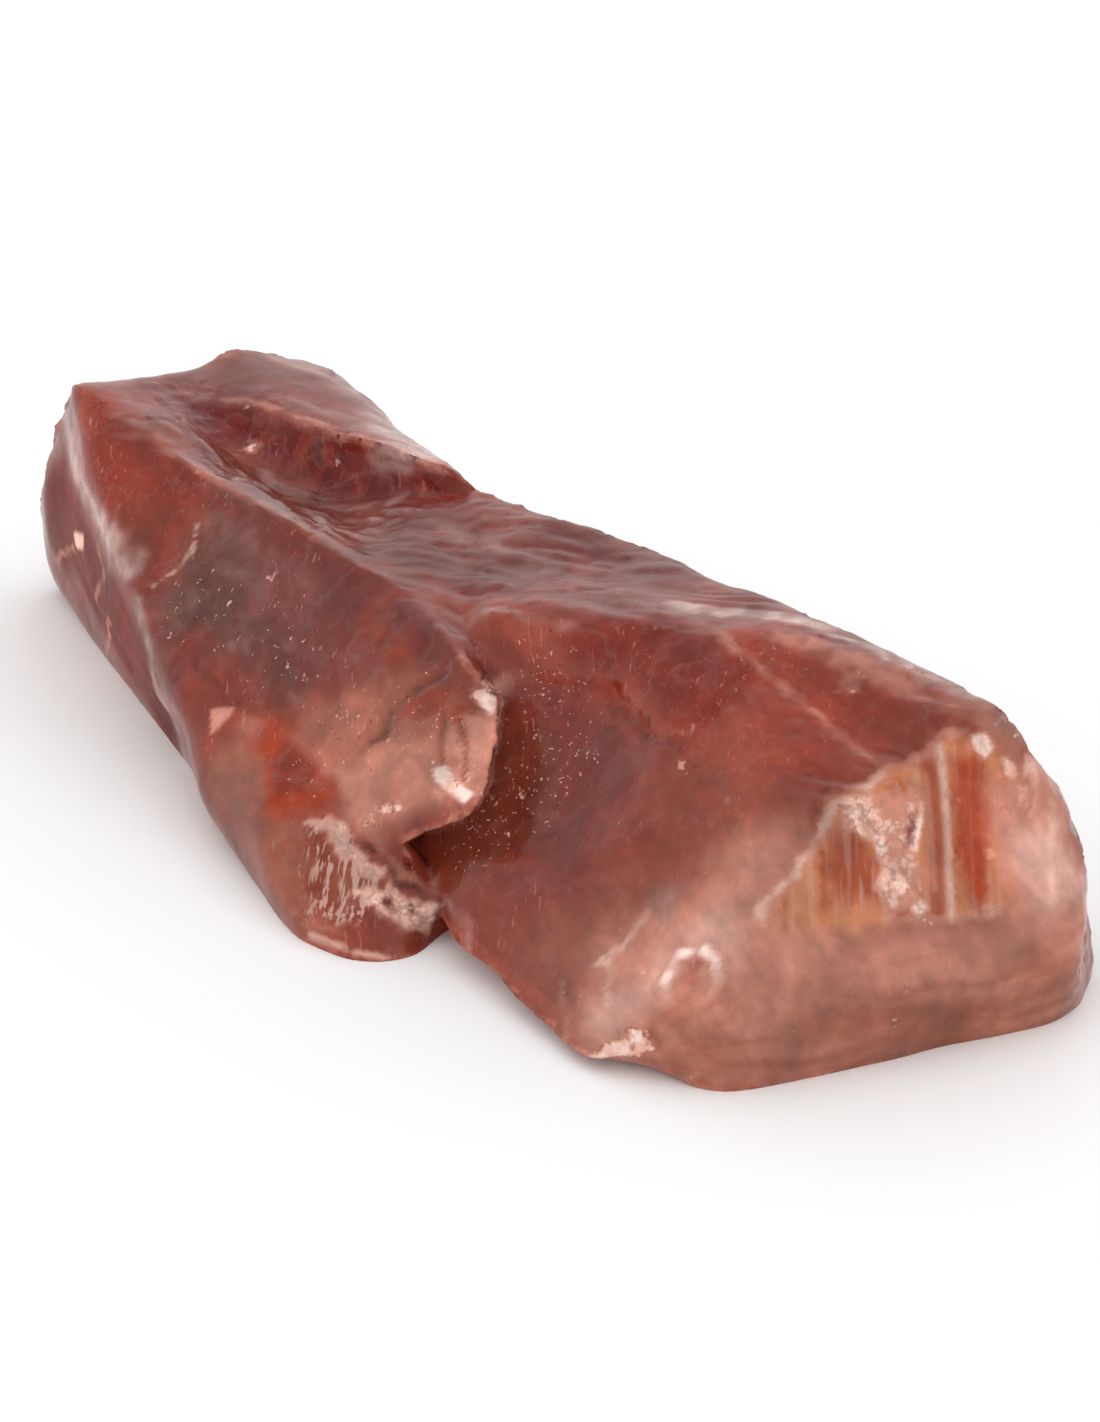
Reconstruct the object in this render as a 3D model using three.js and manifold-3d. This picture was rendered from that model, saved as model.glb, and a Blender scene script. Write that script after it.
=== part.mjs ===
// A piece of raw calcite: one broken lump, lying on its flattest face.
// Millimetres. X runs along the stone, Z is up, and the face it lies on is at z = 0.
import * as THREE from "three";
import { ConvexGeometry } from "three/addons/geometries/ConvexGeometry.js";
import { ImprovedNoise } from "three/addons/math/ImprovedNoise.js";
import { TessellateModifier } from "three/addons/modifiers/TessellateModifier.js";
import { mergeVertices } from "three/addons/utils/BufferGeometryUtils.js";
import Module from "manifold-3d";

const wasm = await Module();
wasm.setup();

// ---- driving dimensions ----

// The longest edge of the finished surface.
const EDGE = 3.3;
// How far the broken faces undulate: wide swells, and ripples on them.
const SWELL = { size: 13, reach: 0.6 };
const RIPPLE = { size: 4.2, reach: 0.35 };
// Below this height the undulation dies away, so that the base stays flat.
const CALM_HEIGHT = 1.6;
// The undulation in x, y and z is read from places this far apart, so that the three differ.
const CHANNEL_STEP = new THREE.Vector3(31.7, 17.3, 5.1);

// The end face: its outward direction, and the direction that its cleavage lines run up it.
const END_OUT = new THREE.Vector3(0.8, -0.35, 0.48).normalize();
const END_UP = new THREE.Vector3(-0.4, 0.29, 0.87);

// The fluted patch low on the front: parallel flutes between two lines.
const FLUTES = {
  count: 6,
  sides: 6,
  radius: 0.7,
  top: [[4.6, -15.1, 5.6], [12.1, -12.4, 5.2]],
  foot: [[5.6, -18.6, 2.2], [13.3, -14.2, 2.2]],
};

// How finely the cutting balls are faceted, and how thick a flake is before it splits off.
const BALL_DETAIL = 3;
const FLAKE_THICKNESS = 4;
// Corners closer than this are one corner.
const WELD = 1e-4;
// Enough halvings to bring the longest edge of the stone down to EDGE.
const HALVINGS = 12;

// ---- solids and cuts ----

const closedGeometry = (geometry) => {
  const bare = geometry.clone();
  bare.deleteAttribute("normal");
  bare.deleteAttribute("uv");
  return mergeVertices(bare, WELD);
};

const solidOf = (geometry) => {
  const closed = closedGeometry(geometry);
  const mesh = new wasm.Mesh({
    numProp: 3,
    vertProperties: closed.attributes.position.array,
    triVerts: new Uint32Array(closed.index.array),
  });
  return new wasm.Manifold(mesh);
};

const geometryOf = (solid) => {
  const mesh = solid.getMesh();
  const positions = new THREE.BufferAttribute(new Float32Array(mesh.vertProperties), 3);
  const index = new THREE.BufferAttribute(new Uint32Array(mesh.triVerts), 1);
  return new THREE.BufferGeometry().setAttribute("position", positions).setIndex(index);
};

const vector = ([x, y, z]) => new THREE.Vector3(x, y, z);
const between = (start, end, share) => vector(start).lerp(vector(end), share);

// A lump is the convex body round its corners, listed in rows along its edges.
const lump = (...rows) => solidOf(new ConvexGeometry(rows.flat().map(vector)));

// A scoop is the ball that a shell-shaped fracture follows.
const scoop = ({ at, radius }) =>
  solidOf(new THREE.IcosahedronGeometry(radius, BALL_DETAIL).translate(...at));

// A flake is the slab that splits off the end face and leaves a flat step, "depth" deep.
const flake = ({ at, width, length, depth }) => {
  const across = new THREE.Vector3().crossVectors(END_UP, END_OUT).normalize();
  const up = new THREE.Vector3().crossVectors(END_OUT, across);
  const slab = new THREE.BoxGeometry(width, length, FLAKE_THICKNESS);
  slab.translate(0, 0, FLAKE_THICKNESS / 2 - depth);
  slab.applyMatrix4(new THREE.Matrix4().makeBasis(across, up, END_OUT).setPosition(...at));
  return solidOf(slab);
};

// A flute is a straight channel from its foot to its top.
const flute = (share) => {
  const { top, foot, radius, sides } = FLUTES;
  const start = between(...foot, share);
  const end = between(...top, share);
  const run = end.clone().sub(start);
  const channel = new THREE.CylinderGeometry(radius, radius, run.length(), sides);
  const upright = new THREE.Vector3(0, 1, 0);
  channel.applyQuaternion(new THREE.Quaternion().setFromUnitVectors(upright, run.normalize()));
  channel.translate(...start.lerp(end, 0.5).toArray());
  return solidOf(channel);
};

const cut = (solid, cutters) => cutters.reduce((left, cutter) => left.subtract(cutter), solid);

// ---- the near half: a thick block with a steep end face ----

const nearBlock = () => {
  const block = lump(
    // front crest
    [[7, -2, 17.5], [12, -1, 18], [17, 1, 19.3], [21.5, 3, 20.5]],
    [[28.5, 8, 20.2], [32.5, 8.5, 20], [36.5, 9, 19.5], [40.2, 9.7, 19.2]],
    // back crest
    [[-9, 9.5, 17], [0, 10, 17.8], [7, 10, 18.5], [13.5, 9.5, 19.3]],
    [[20.5, 8.2, 19.8], [27, 9.5, 19.8], [31, 10, 19.5], [36, 10.3, 19.2]],
    // end face, from its upper edge to its right rim
    [[37.3, -2.4, 15.4], [38.5, 1.5, 16.1], [39, 6, 18.3], [38.1, -8.1, 9.9], [46.3, 7.5, 7.5]],
    [[43, 9.5, 17], [44.5, 10.7, 14.3], [45.5, 11.9, 10.8], [46.2, 11.4, 7.3], [47.6, 10, 4]],
    // edge of the undercut strip below the end face
    [[38.9, -11.1, 5.6], [43.1, -2.2, 5.6], [46, 4.4, 5]],
    // foot
    [[17.5, -14, 2], [31.5, -16.2, 1], [17, -11.5, 0], [30, -13.5, 0], [37, -13, 0]],
    [[38.7, -12.2, 0], [40, -10, 0], [42.4, -2, 0], [45, 5.5, 0], [46.3, 8.7, 0], [45.8, 12, 0]],
    // back
    [[43, 16, 0], [41, 16, 8], [38, 17.5, 3], [28, 17, 8], [12, 16, 7], [0, 15, 7], [0, 14, 0]],
    // the side that the rest of the stone covers
    [[11, -11.5, 4.3], [0, -5, 9.5], [-6, 3, 16], [2, -1, 13.5], [-4, -8, 5], [-9, 9, 8], [6, -6, 0]],
  );
  return cut(block, [
    scoop({ at: [15.5, -24.5, 29.5], radius: 27.2 }),
    scoop({ at: [54.5, -1.7, -3.5], radius: 12 }),
    flake({ at: [42.4, 6.7, 14], width: 5, length: 13, depth: 0.4 }),
    flake({ at: [40.9, 3.7, 14.2], width: 1.2, length: 12.5, depth: 0.65 }),
  ]);
};

// ---- the far half: a proud plate on the front, a hollow behind it, and a peak at the back ----

const plate = () => {
  const slab = lump(
    // crest
    [[-37.5, -1, 17.6], [-33.5, -1, 17.5], [-30.5, -1, 17.4], [-25.5, -1.6, 17.3], [-19, -2.3, 17]],
    [[-12, -2.6, 16.8], [-6.5, -3, 16.6], [-1, -3, 17], [4, -4.5, 15.5]],
    // broken end
    [[8.5, -5, 15.5], [11.3, -5.5, 14.8], [13.2, -8, 12.2], [15, -11, 9.2], [10.5, -13.5, 6.3]],
    // far edge and lower lip
    [[-35.5, -2.5, 16], [-31.5, -4.5, 14.5], [-22.5, -8, 10.5], [-17.5, -10, 8.5], [-13, -12.2, 6.7]],
    [[-7, -12, 7.1], [-0.5, -12.3, 6.9], [3.5, -13, 6.5]],
    // inner side
    [[-35, 2, 16.6], [-26, 1, 15.5], [-10, 0, 15], [0, 0, 15.5]],
    [[6, 0, 8], [-10, 0, 3], [-25, 0, 5], [6, -9, 4]],
  );
  return cut(slab, [
    scoop({ at: [17.5, -11, 14.5], radius: 4.2 }),
    scoop({ at: [19.5, -13.5, 10], radius: 4.6 }),
    scoop({ at: [14.5, -8.5, 18.3], radius: 3.6 }),
  ]);
};

const core = () =>
  lump(
    // floor of the hollow, from the front crest down to the foot of the back wall
    [[-33, 0, 16.8], [-26, -1.2, 16.6], [-18, -1.8, 16.4], [-8, -2.2, 16.2], [2, -1.5, 16.8]],
    [[-32, 5, 15], [-26, 6, 13.8], [-20, 6.8, 13.5], [-14, 8.5, 14.5], [-6, 9.5, 16.2]],
    // foot
    [[-35.4, -1.8, 0], [-27.5, -4.8, 0], [-22.5, -5.8, 0], [-15.7, -9.2, 0], [14, -11, 0]],
    [[14, 14, 0], [-10, 15, 0], [-34, 14, 0], [6, -8, 5], [10, -4, 8]],
  );

const farEnd = () =>
  lump(
    // peak and the edge that runs back from it
    [[-38, -1, 18.3], [-38, 2, 17.8], [-37, 3.5, 17.3], [-36.8, 7.5, 16.8], [-36.5, 9.5, 17]],
    [[-32.5, 6.5, 16.8], [-31.5, 5.3, 17], [-25.5, -1.5, 17.2], [-33.5, -1, 17.6]],
    // far side, bulging low down
    [[-40, 0.3, 14.1], [-42, 0.2, 11], [-45, 0.6, 6.3], [-44.8, 1, 4.2], [-43.5, 0.5, 2.5]],
    [[-32.6, -4.1, 9.2], [-28.5, -5.7, 7.4], [-42, 8, 2], [-40, 9, 10]],
    // edge shared with the plate
    [[-31.5, -4.5, 14.5], [-22.5, -8, 10.5], [-17.5, -10, 8.5], [-13, -12.2, 6.7]],
    // foot
    [[-43.5, 1.6, 0], [-35.4, -2, 0], [-27.5, -4.8, 0], [-22.5, -5.8, 0], [-15.7, -9.2, 0]],
    [[-34, 12, 0], [-20, 5, 0], [-20, 3, 14]],
  );

const backPeak = () =>
  lump(
    // outer edge
    [[-36.5, 9.5, 17.3], [-35.5, 11.5, 18.2], [-32, 14.5, 17.8], [-30.5, 15.8, 16.8]],
    [[-27.5, 15.8, 16.2], [-21, 14, 16.3], [-14, 11.5, 17], [-9, 9.6, 17.5]],
    // rim and foot of the wall above the hollow
    [[-33, 6.5, 17.2], [-27.5, 6.5, 17.5], [-22.5, 6.5, 18], [-18, 7, 18], [-14.5, 8.5, 18]],
    [[-10, 9, 17.8], [-36, 8, 14], [-30, 6, 13], [-22.5, 6.5, 12.5], [-14, 8.5, 13]],
    // back and foot
    [[-39, 10, 3], [-35, 15, 0], [-30, 18, 6], [-22, 17, 0], [-8, 14.5, 3], [0, 14, 2]],
    [[-10, 5, 0], [-30, 4, 0]],
  );

// The hollow is what broke out between the front crest and the back peak: a gentle slope behind the
// crest, and a steep wall at the back.
const hollow = () =>
  lump(
    // along the crest, along the foot of the wall, and along the wall's rim
    [[-33.5, 3, 17.6], [-27, 1.2, 17], [-22, 0.3, 16.7], [-15, -0.6, 16.5], [-7, -0.6, 16.5]],
    [[-27, 5.2, 15.2], [-23, 4.6, 14], [-18.6, 5.8, 14], [-14.9, 7, 14.8], [-11, 8.8, 16]],
    [[-34, 6, 17.6], [-27.3, 6.6, 18.2], [-16.9, 7.7, 18.8], [-9, 9, 17.6]],
    // above the stone
    [[-34, 6, 22], [-9, 9, 22], [-33.5, 3, 22], [-7, -0.6, 22], [-3, 4, 20]],
  );

// ---- the lobe low on the front, with a lip along its foot ----

const lobe = () => {
  const body = lump(
    [[-15.7, -9.2, 0], [-7.8, -13.1, 0], [-1.2, -16, 0], [3.4, -17.5, 1.5]],
    [[7, -17.8, 2], [10.5, -16.8, 2.2], [12.8, -14.5, 2.3], [13.2, -13, 1.5]],
    [[12, -11.5, 3], [-7.5, -15, 3], [2, -17.2, 4]],
    [[-13, -12, 6], [-5.5, -12.8, 6.2], [-1.5, -14.5, 6], [5, -13.5, 5.7], [11, -12.8, 6]],
    [[0, -8, 6], [0, -5, 0], [-14, -8, 0], [11, -9, 0]],
  );
  const lip = lump(
    [[-1.2, -16, 0], [3.4, -17.8, 0], [7, -18.9, 0], [10.5, -18.4, 0], [12.6, -17, 0], [13.5, -14.4, 0]],
    [[2, -17.2, 1.5], [6.5, -18.8, 1.6], [10.5, -18, 1.8], [13, -15.5, 1.8]],
    [[12, -10, 0], [0, -10, 0], [10, -10, 2], [0, -10, 2]],
  );
  const flutes = Array.from({ length: FLUTES.count }, (_, i) => flute(i / (FLUTES.count - 1)));
  return cut(body, flutes).add(lip);
};

// ---- relief ----

const noise = new ImprovedNoise();

// A smooth wandering value, a different one for each channel.
const drift = ({ size, reach }, point, channel) => {
  const { x, y, z } = point.clone().divideScalar(size).addScaledVector(CHANNEL_STEP, channel);
  return reach * noise.noise(x, y, z);
};

// Space itself is pushed about, so the surface undulates and can't cut through itself.
const undulate = (geometry) => {
  const position = geometry.attributes.position;
  const point = new THREE.Vector3();
  for (let i = 0; i < position.count; i += 1) {
    point.fromBufferAttribute(position, i);
    const calm = THREE.MathUtils.smoothstep(point.z, 0, CALM_HEIGHT);
    const push = [1, 2, 3].map((i) => drift(SWELL, point, i) + drift(RIPPLE, point, i + 3));
    point.addScaledVector(vector(push), calm);
    position.setXYZ(i, point.x, point.y, point.z);
  }
  return geometry;
};

const centred = (geometry) => {
  geometry.computeBoundingBox();
  const { min, max } = geometry.boundingBox;
  return geometry.translate(-(min.x + max.x) / 2, -(min.y + max.y) / 2, -min.z);
};

// ---- the stone ----

const joined = wasm.Manifold.union([nearBlock(), plate(), core(), farEnd(), backPeak(), lobe()]);
const broken = cut(joined, [
  hollow(),
  scoop({ at: [-10.5, 45.2, 24], radius: 35 }),
  scoop({ at: [35.5, -17.5, -1], radius: 4.5 }),
  scoop({ at: [3, 4, 42], radius: 24.8 }),
]);
const tessellated = new TessellateModifier(EDGE, HALVINGS).modify(geometryOf(broken).toNonIndexed());

const calcite = new THREE.Mesh(
  centred(undulate(closedGeometry(tessellated))),
  new THREE.MeshStandardMaterial({ color: 0x9c6858, roughness: 0.3, metalness: 0 }),
);
calcite.name = "calcite";

const model = new THREE.Group();
model.add(calcite);

export default model;
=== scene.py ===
# %% [markdown]
# # A piece of raw calcite
#
# This is a lesson in cells. It starts from the packed solid of the stone, gives it a broken surface and a
# see-through material, and lays it on a plain white set with soft light. Lengths are written in millimetres,
# and MM turns them into the metres that Blender works in.

import math

import bmesh
import bpy
import numpy as np
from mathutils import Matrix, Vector, noise
from mathutils.bvhtree import BVHTree


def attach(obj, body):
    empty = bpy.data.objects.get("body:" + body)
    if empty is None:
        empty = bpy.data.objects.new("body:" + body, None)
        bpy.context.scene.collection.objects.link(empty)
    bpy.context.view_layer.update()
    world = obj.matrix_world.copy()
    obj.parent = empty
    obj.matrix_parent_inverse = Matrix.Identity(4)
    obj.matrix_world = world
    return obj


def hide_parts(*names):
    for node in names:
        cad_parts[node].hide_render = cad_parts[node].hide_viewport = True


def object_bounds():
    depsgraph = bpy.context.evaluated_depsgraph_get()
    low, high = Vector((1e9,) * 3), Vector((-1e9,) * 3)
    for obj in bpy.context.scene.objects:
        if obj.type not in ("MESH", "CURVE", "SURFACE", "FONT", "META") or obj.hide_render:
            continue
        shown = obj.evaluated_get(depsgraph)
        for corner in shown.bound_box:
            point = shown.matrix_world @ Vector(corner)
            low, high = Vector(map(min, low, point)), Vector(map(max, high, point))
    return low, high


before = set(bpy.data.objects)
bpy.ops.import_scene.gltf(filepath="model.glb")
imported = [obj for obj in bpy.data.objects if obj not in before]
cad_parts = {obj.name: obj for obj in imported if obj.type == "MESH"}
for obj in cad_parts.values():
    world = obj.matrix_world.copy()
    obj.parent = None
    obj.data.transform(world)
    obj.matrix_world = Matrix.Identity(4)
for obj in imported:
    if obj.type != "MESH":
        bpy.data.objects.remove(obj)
solid_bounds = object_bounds()
MM = 0.001
print("the solid measures", [round((hi - lo) / MM, 1) for lo, hi in zip(*solid_bounds)], "mm")

# %% [markdown]
# ## The camera
#
# The stone is seen from in front and from the right, a little from above, through a long lens that hardly
# bends the perspective. The camera's place is worked out from two angles and a distance.

# %% Camera
AIM = Vector((5.65, 2.92, 9.0)) * MM
DISTANCE = 430 * MM
TURN = 48
RISE = 27
LENS = 168.7


def direction(turn, rise):
    """The unit vector that points at that turn round the stone and that rise above the table, in degrees."""
    turn, rise = math.radians(turn), math.radians(rise)
    return Vector((math.sin(turn) * math.cos(rise), -math.cos(turn) * math.cos(rise), math.sin(rise)))


def aimed(thing, place):
    """Puts a camera or a lamp at a place, pointing at the stone."""
    thing.location = place
    thing.rotation_euler = (AIM - place).to_track_quat("-Z", "Y").to_euler()
    bpy.context.scene.collection.objects.link(thing)
    return thing


camera = bpy.data.objects.new("camera", bpy.data.cameras.new("camera"))
camera.data.lens = LENS
camera.data.clip_start = 0.01
aimed(camera, AIM + direction(TURN, RISE) * DISTANCE)
bpy.context.scene.camera = camera
print("camera at", [round(v / MM) for v in camera.location], "mm")

# %% [markdown]
# ## The fine mesh
#
# A broken stone has one skin, so it is worked as one piece. The solid has a few thousand flat triangles of
# very different sizes. A copy of it is merged, because its triangles are loose, and then remeshed into small
# even squares, which a subdivision would not give.

# %% Fine mesh
GRID = 0.32 * MM
WELD = 1e-7

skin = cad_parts["calcite"].data.copy()
merging = bmesh.new()
merging.from_mesh(skin)
bmesh.ops.remove_doubles(merging, verts=merging.verts, dist=WELD)
merging.to_mesh(skin)
merging.free()
stone = bpy.data.objects.new("stone", skin)
bpy.context.scene.collection.objects.link(stone)
remesh = stone.modifiers.new("even squares", "REMESH")
remesh.mode = "VOXEL"
remesh.voxel_size = GRID
graph = bpy.context.evaluated_depsgraph_get()
stone.data = bpy.data.meshes.new_from_object(stone.evaluated_get(graph))
stone.modifiers.clear()
stone.data.materials.clear()
count = len(stone.data.vertices)
print("fine mesh:", count, "points,", len(stone.data.polygons), "squares")

# %% [markdown]
# ## Softened facets
#
# Between its creases broken calcite is smooth, and the fine mesh still shows the solid's flat triangles. The
# squares' directions are first averaged with their neighbours', but only where the two nearly agree, so that
# a real crease stays a crease. Then the points move until the squares lie in those directions.

# %% Soften the low creases
# Directions that differ by much more than this belong to two sides of a crease.
AGREE = 0.4
TURNINGS = 45
SETTLINGS = 30

place = np.empty(count * 3)
stone.data.vertices.foreach_get("co", place)
place = place.reshape(-1, 3) / MM
corners = np.empty(len(stone.data.polygons) * 4, int)
stone.data.polygons.foreach_get("vertices", corners)
squares = corners.reshape(-1, 4)

# Each side of a square has a twin, the same side of the square beside it.
sides = np.stack([squares, np.roll(squares, -1, axis=1)], axis=2).reshape(-1, 2)
order = np.argsort(sides.min(axis=1) * count + sides.max(axis=1), kind="stable")
twin = np.empty(len(order), int)
twin[order[0::2]] = order[1::2]
twin[order[1::2]] = order[0::2]
beside = twin.reshape(-1, 4) // 4


def unit(rows):
    """The rows at length 1."""
    return rows / np.maximum(np.linalg.norm(rows, axis=-1, keepdims=True), 1e-12)


def facing(points):
    """The direction that each square faces."""
    first, second, third, fourth = (points[squares[:, corner]] for corner in range(4))
    return unit(np.cross(third - first, fourth - second))


turned = facing(place)
for _ in range(TURNINGS):
    others = turned[beside]
    apart = np.linalg.norm(others - turned[:, None], axis=2, keepdims=True)
    turned = unit(turned + (others * np.exp(-((apart / AGREE) ** 2))).sum(axis=1))

shares = np.bincount(corners, minlength=count)[:, None]
for _ in range(SETTLINGS):
    offset = place[squares].mean(axis=1)[:, None] - place[squares]
    pull = (offset * turned[:, None]).sum(axis=2, keepdims=True) * turned[:, None]
    pull = pull.reshape(-1, 3)
    place += np.stack([np.bincount(corners, pull[:, axis], count) for axis in range(3)], axis=1) / shares
place[:, 2] = np.maximum(place[:, 2], 0)
print("softened; the lowest point is at", round(place[:, 2].min(), 3), "mm")

# %% [markdown]
# ## Shallower pits
#
# The groove beside the end face's rib and the pits beside the lobe are too deep in the solid. On the stone
# they are hardly sunk. So there the points are moved to the middle of their neighbours, over and over, until
# the groove and the pits are shallow.


# %% Even out two rough places
def smooth(value, low, high):
    """0 below low, 1 above high, and a soft step between."""
    share = np.clip((value - low) / (high - low), 0, 1)
    return share * share * (3 - 2 * share)


def gap(places, route):
    """How far each place is from a route."""
    nearest = np.full(count, np.inf)
    for start, end in zip(route, route[1:] or route):
        start, run = np.array(start), np.array(end) - np.array(start)
        share = np.clip((places - start) @ run / max(run @ run, 1e-9), 0, 1)
        nearest = np.minimum(nearest, np.linalg.norm(places - start - share[:, None] * run, axis=1))
    return nearest


def spread(values):
    """The mean over the squares round each point."""
    at_squares = np.repeat(values[squares].mean(axis=1), 4, axis=0)
    return np.bincount(corners, at_squares, count) / shares[:, 0]


def surroundings():
    """The middle of the points round each point."""
    return np.stack([spread(place[:, axis]) for axis in range(3)], axis=1)


RIB_GROOVE = [(37.9, 6.2, 17.8), (40.0, 4.6, 13.3), (42.3, 2.7, 8.8)]
LOBE_PITS = [(6.0, -14.0, 4.2), (8.5, -14.4, 3.4), (10.5, -13.5, 2.3)]
ROUND_THEM = (1.2, 2.4)
EVENINGS = 100

uneven = 1 - smooth(np.minimum(gap(place, RIB_GROOVE), gap(place, LOBE_PITS)), *ROUND_THEM)
for _ in range(EVENINGS):
    place += uneven[:, None] * (surroundings() - place)
place[:, 2] = np.maximum(place[:, 2], 0)
stone.data.vertices.foreach_set("co", (place * MM).ravel())
stone.data.update()

normal = np.empty(count * 3)
stone.data.vertex_normals.foreach_get("vector", normal)
normal = normal.reshape(-1, 3)
print("evened out:", int((uneven > 0.5).sum()), "points")

# %% [markdown]
# ## A brush
#
# Chips, cracks and coloured zones are laid on the stone as with a brush. Wide zones follow routes through the
# stone, given in millimetres. A hand never draws a perfect line, so the brush measures from places that a
# noise has pushed about, by up to the millimetres given as its reach. The noise's seed is set, because
# otherwise it would differ from run to run.


# %% Brush
SEED = 7

noise.seed_set(SEED)


def field(function):
    """A function of the place, worked out at each point of the stone."""
    return np.array([function(Vector(spot)) for spot in place])


def wander(size, reach):
    """How far a noise pushes each point about."""
    return field(lambda spot: noise.noise_vector(spot / size)) * reach


loose = place + wander(5, 1.6) + wander(1.7, 0.5)
tight = place + wander(1.5, 0.35)
patchy = smooth(field(lambda spot: noise.noise(spot / 1.3)), -0.3, 0.15)
ragged = field(lambda spot: noise.noise(spot / 0.7) + 0.5 * noise.noise(spot / 0.35))


def soft(radius, *routes):
    """A wide brush with a soft edge."""
    return 1 - smooth(np.minimum.reduce([gap(loose, route) for route in routes]), radius * 0.35, radius)


print("brush ready:", count, "points to touch")

# %% [markdown]
# ## Sheets to draw on
#
# Small marks are drawn flat. A sheet is laid on one side of the stone, and a drawing on it, in millimetres
# across and up from the sheet's middle, sinks straight onto the faces under it. Worn marks are drawn ragged,
# and marks that follow the cleavage are ruled.


# %% Sheets
class Sheet:
    """A flat sheet in front of one side of the stone. Its turn and rise say where it faces."""

    DEPTH = 5
    FEATHER = 0.15

    def __init__(self, centre, turn, rise):
        out = direction(turn, rise)
        across = direction(turn + 90, 0)
        axes = np.array([across, out.cross(across), out]).T
        self.straight = ((place - centre) @ axes)[:, :2]
        self.flat = ((tight - centre) @ axes)[:, :2]
        self.height = (place - centre) @ axes[:, 2]
        near = 1 - smooth(abs(self.height), self.DEPTH, self.DEPTH + 1)
        self.under = smooth(normal @ axes[:, 2], 0.15, 0.4) * near

    def line(self, radius, *route):
        """A line that is worn thin in places."""
        drawn = 1 - smooth(gap(self.flat, route) + 0.2 * ragged, radius * 0.2, radius)
        return drawn * self.under * (0.4 + 0.6 * patchy)

    def ruled(self, radius, *route):
        """A straight and even line."""
        return (1 - smooth(gap(self.straight, route), radius * 0.2, radius)) * self.under

    def beyond(self, spots, corners):
        """How far spots on the sheet are outside a shape, and less than 0 inside it."""
        inside = np.zeros(count, bool)
        x, y = spots.T
        for (x0, y0), (x1, y1) in zip(corners, corners[1:] + corners[:1]):
            if y0 != y1:
                inside ^= ((y0 > y) != (y1 > y)) & (x < (x1 - x0) * (y - y0) / (y1 - y0) + x0)
        return gap(spots, corners + corners[:1]) * np.where(inside, -1, 1)

    def patch(self, *corners, edge=0.3):
        """A filled shape with a soft and ragged edge."""
        return (1 - smooth(self.beyond(self.flat, corners) + 0.4 * ragged, -edge, edge)) * self.under

    def chip(self, *corners):
        """A filled shape with straight sides."""
        return (1 - smooth(self.beyond(self.straight, corners), -self.FEATHER, self.FEATHER)) * self.under


plate = Sheet((-11, -7, 12), 0, 43)
side = Sheet((-31, -5, 9), -23, 4)
front = Sheet((25, -7, 11), -4, 42)
end = Sheet((40, 2, 12), 66, 29)
lobe = Sheet((5, -15, 4), 25, 35)
over = Sheet((0, 0, 18), 0, 90)
rear = Sheet((5, 14, 10), 180, 5)

# The front face lies further back than the plate, so marks for the plate must not sink that far.
proud = smooth(plate.height, -1.5, -0.9)
plate.under *= proud
print("seven sheets laid out")

# %% [markdown]
# ## What the brush lays down
#
# Each point of the stone keeps a colour and eight numbers: how cloudy, frosted, glittering and dull it is,
# whether it is fluted, ribbed or worn, and how far it is raised. Iron makes the calcite wine red where it is
# thick, rust or rose where it is thinner, and it is chalky where it is bruised. Some colours are painted
# light
# and shade: grey sheen, highlights, light shining through thin places, and shade in corners and recesses.
# Each side of the stone is painted in a step of its own below, in layers from the broad zones to the small
# marks.

# %% Values
BODY = (0.30, 0.044, 0.022)
WINE = (0.13, 0.010, 0.007)
MAUVE = (0.22, 0.034, 0.026)
OLIVE = (0.17, 0.045, 0.026)
EMBER = (0.40, 0.040, 0.006)
RUST = (0.30, 0.032, 0.012)
CRIMSON = (0.28, 0.024, 0.006)
CLAY = (0.48, 0.16, 0.10)
ROSE = (0.68, 0.28, 0.20)
HONEY = (0.80, 0.29, 0.13)
BLUSH = (0.92, 0.56, 0.45)
# A grey for smoky veils in the stone, and for painted sheen where the stone reflects the light.
SMOKE_AND_SHEEN = (0.44, 0.24, 0.21)
PEARL = (0.74, 0.56, 0.52)
# A white for chalky bruises and frost, and for painted highlights and light shining through thin rims.
CHALK_AND_HIGHLIGHT = (0.90, 0.68, 0.60)

tone = np.tile(BODY, (count, 1))
cloudy, frosted, glitter, dulled, fluted, ribbed, raised = (np.zeros(count) for _ in range(7))


def touch(mask, colour=None, cloud=0, frost=0, spark=0, dull=0, height=0):
    """Lays a colour, and adds to the other values, where the mask is."""
    if colour is not None:
        tone[:] += (np.array(colour) - tone) * np.clip(mask, 0, 1)[:, None]
    cloudy[:] += cloud * mask
    frosted[:] += frost * mask
    glitter[:] += spark * mask
    dulled[:] += dull * mask
    raised[:] += height * mask


print("the whole stone starts in the body colour", BODY)

# %% [markdown]
# ## Worn edges and painted corner shade
#
# Calcite is soft, so its edges bruise and get nibbled. Their pale colour is partly that wear and partly a
# painted highlight, and the inner corners are painted darker, as painted shade. A point that stands out from
# the middle of its neighbours is on an edge, and one that is sunk is in an inner corner. The values are
# spread a little, so that a worn edge is about a millimetre wide.

# %% Worn edges and painted corner shade
EDGE_BULGE = (0.006, 0.03)
CORNER_SHADE_BULGE = (0.004, 0.025)
BULGE_SPREADS = 2

bulge = ((place - surroundings()) * normal).sum(axis=1)
for _ in range(BULGE_SPREADS):
    bulge = spread(bulge)
worn = smooth(bulge, *EDGE_BULGE)
corner_shade = smooth(-bulge, *CORNER_SHADE_BULGE)

# The end face is pale all over, so its inner corners get no painted shade.
touch(0.3 * corner_shade * (1 - smooth(place[:, 0], 30, 36)), WINE)
print("points on a worn edge:", int((worn > 0.5).sum()))

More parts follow.
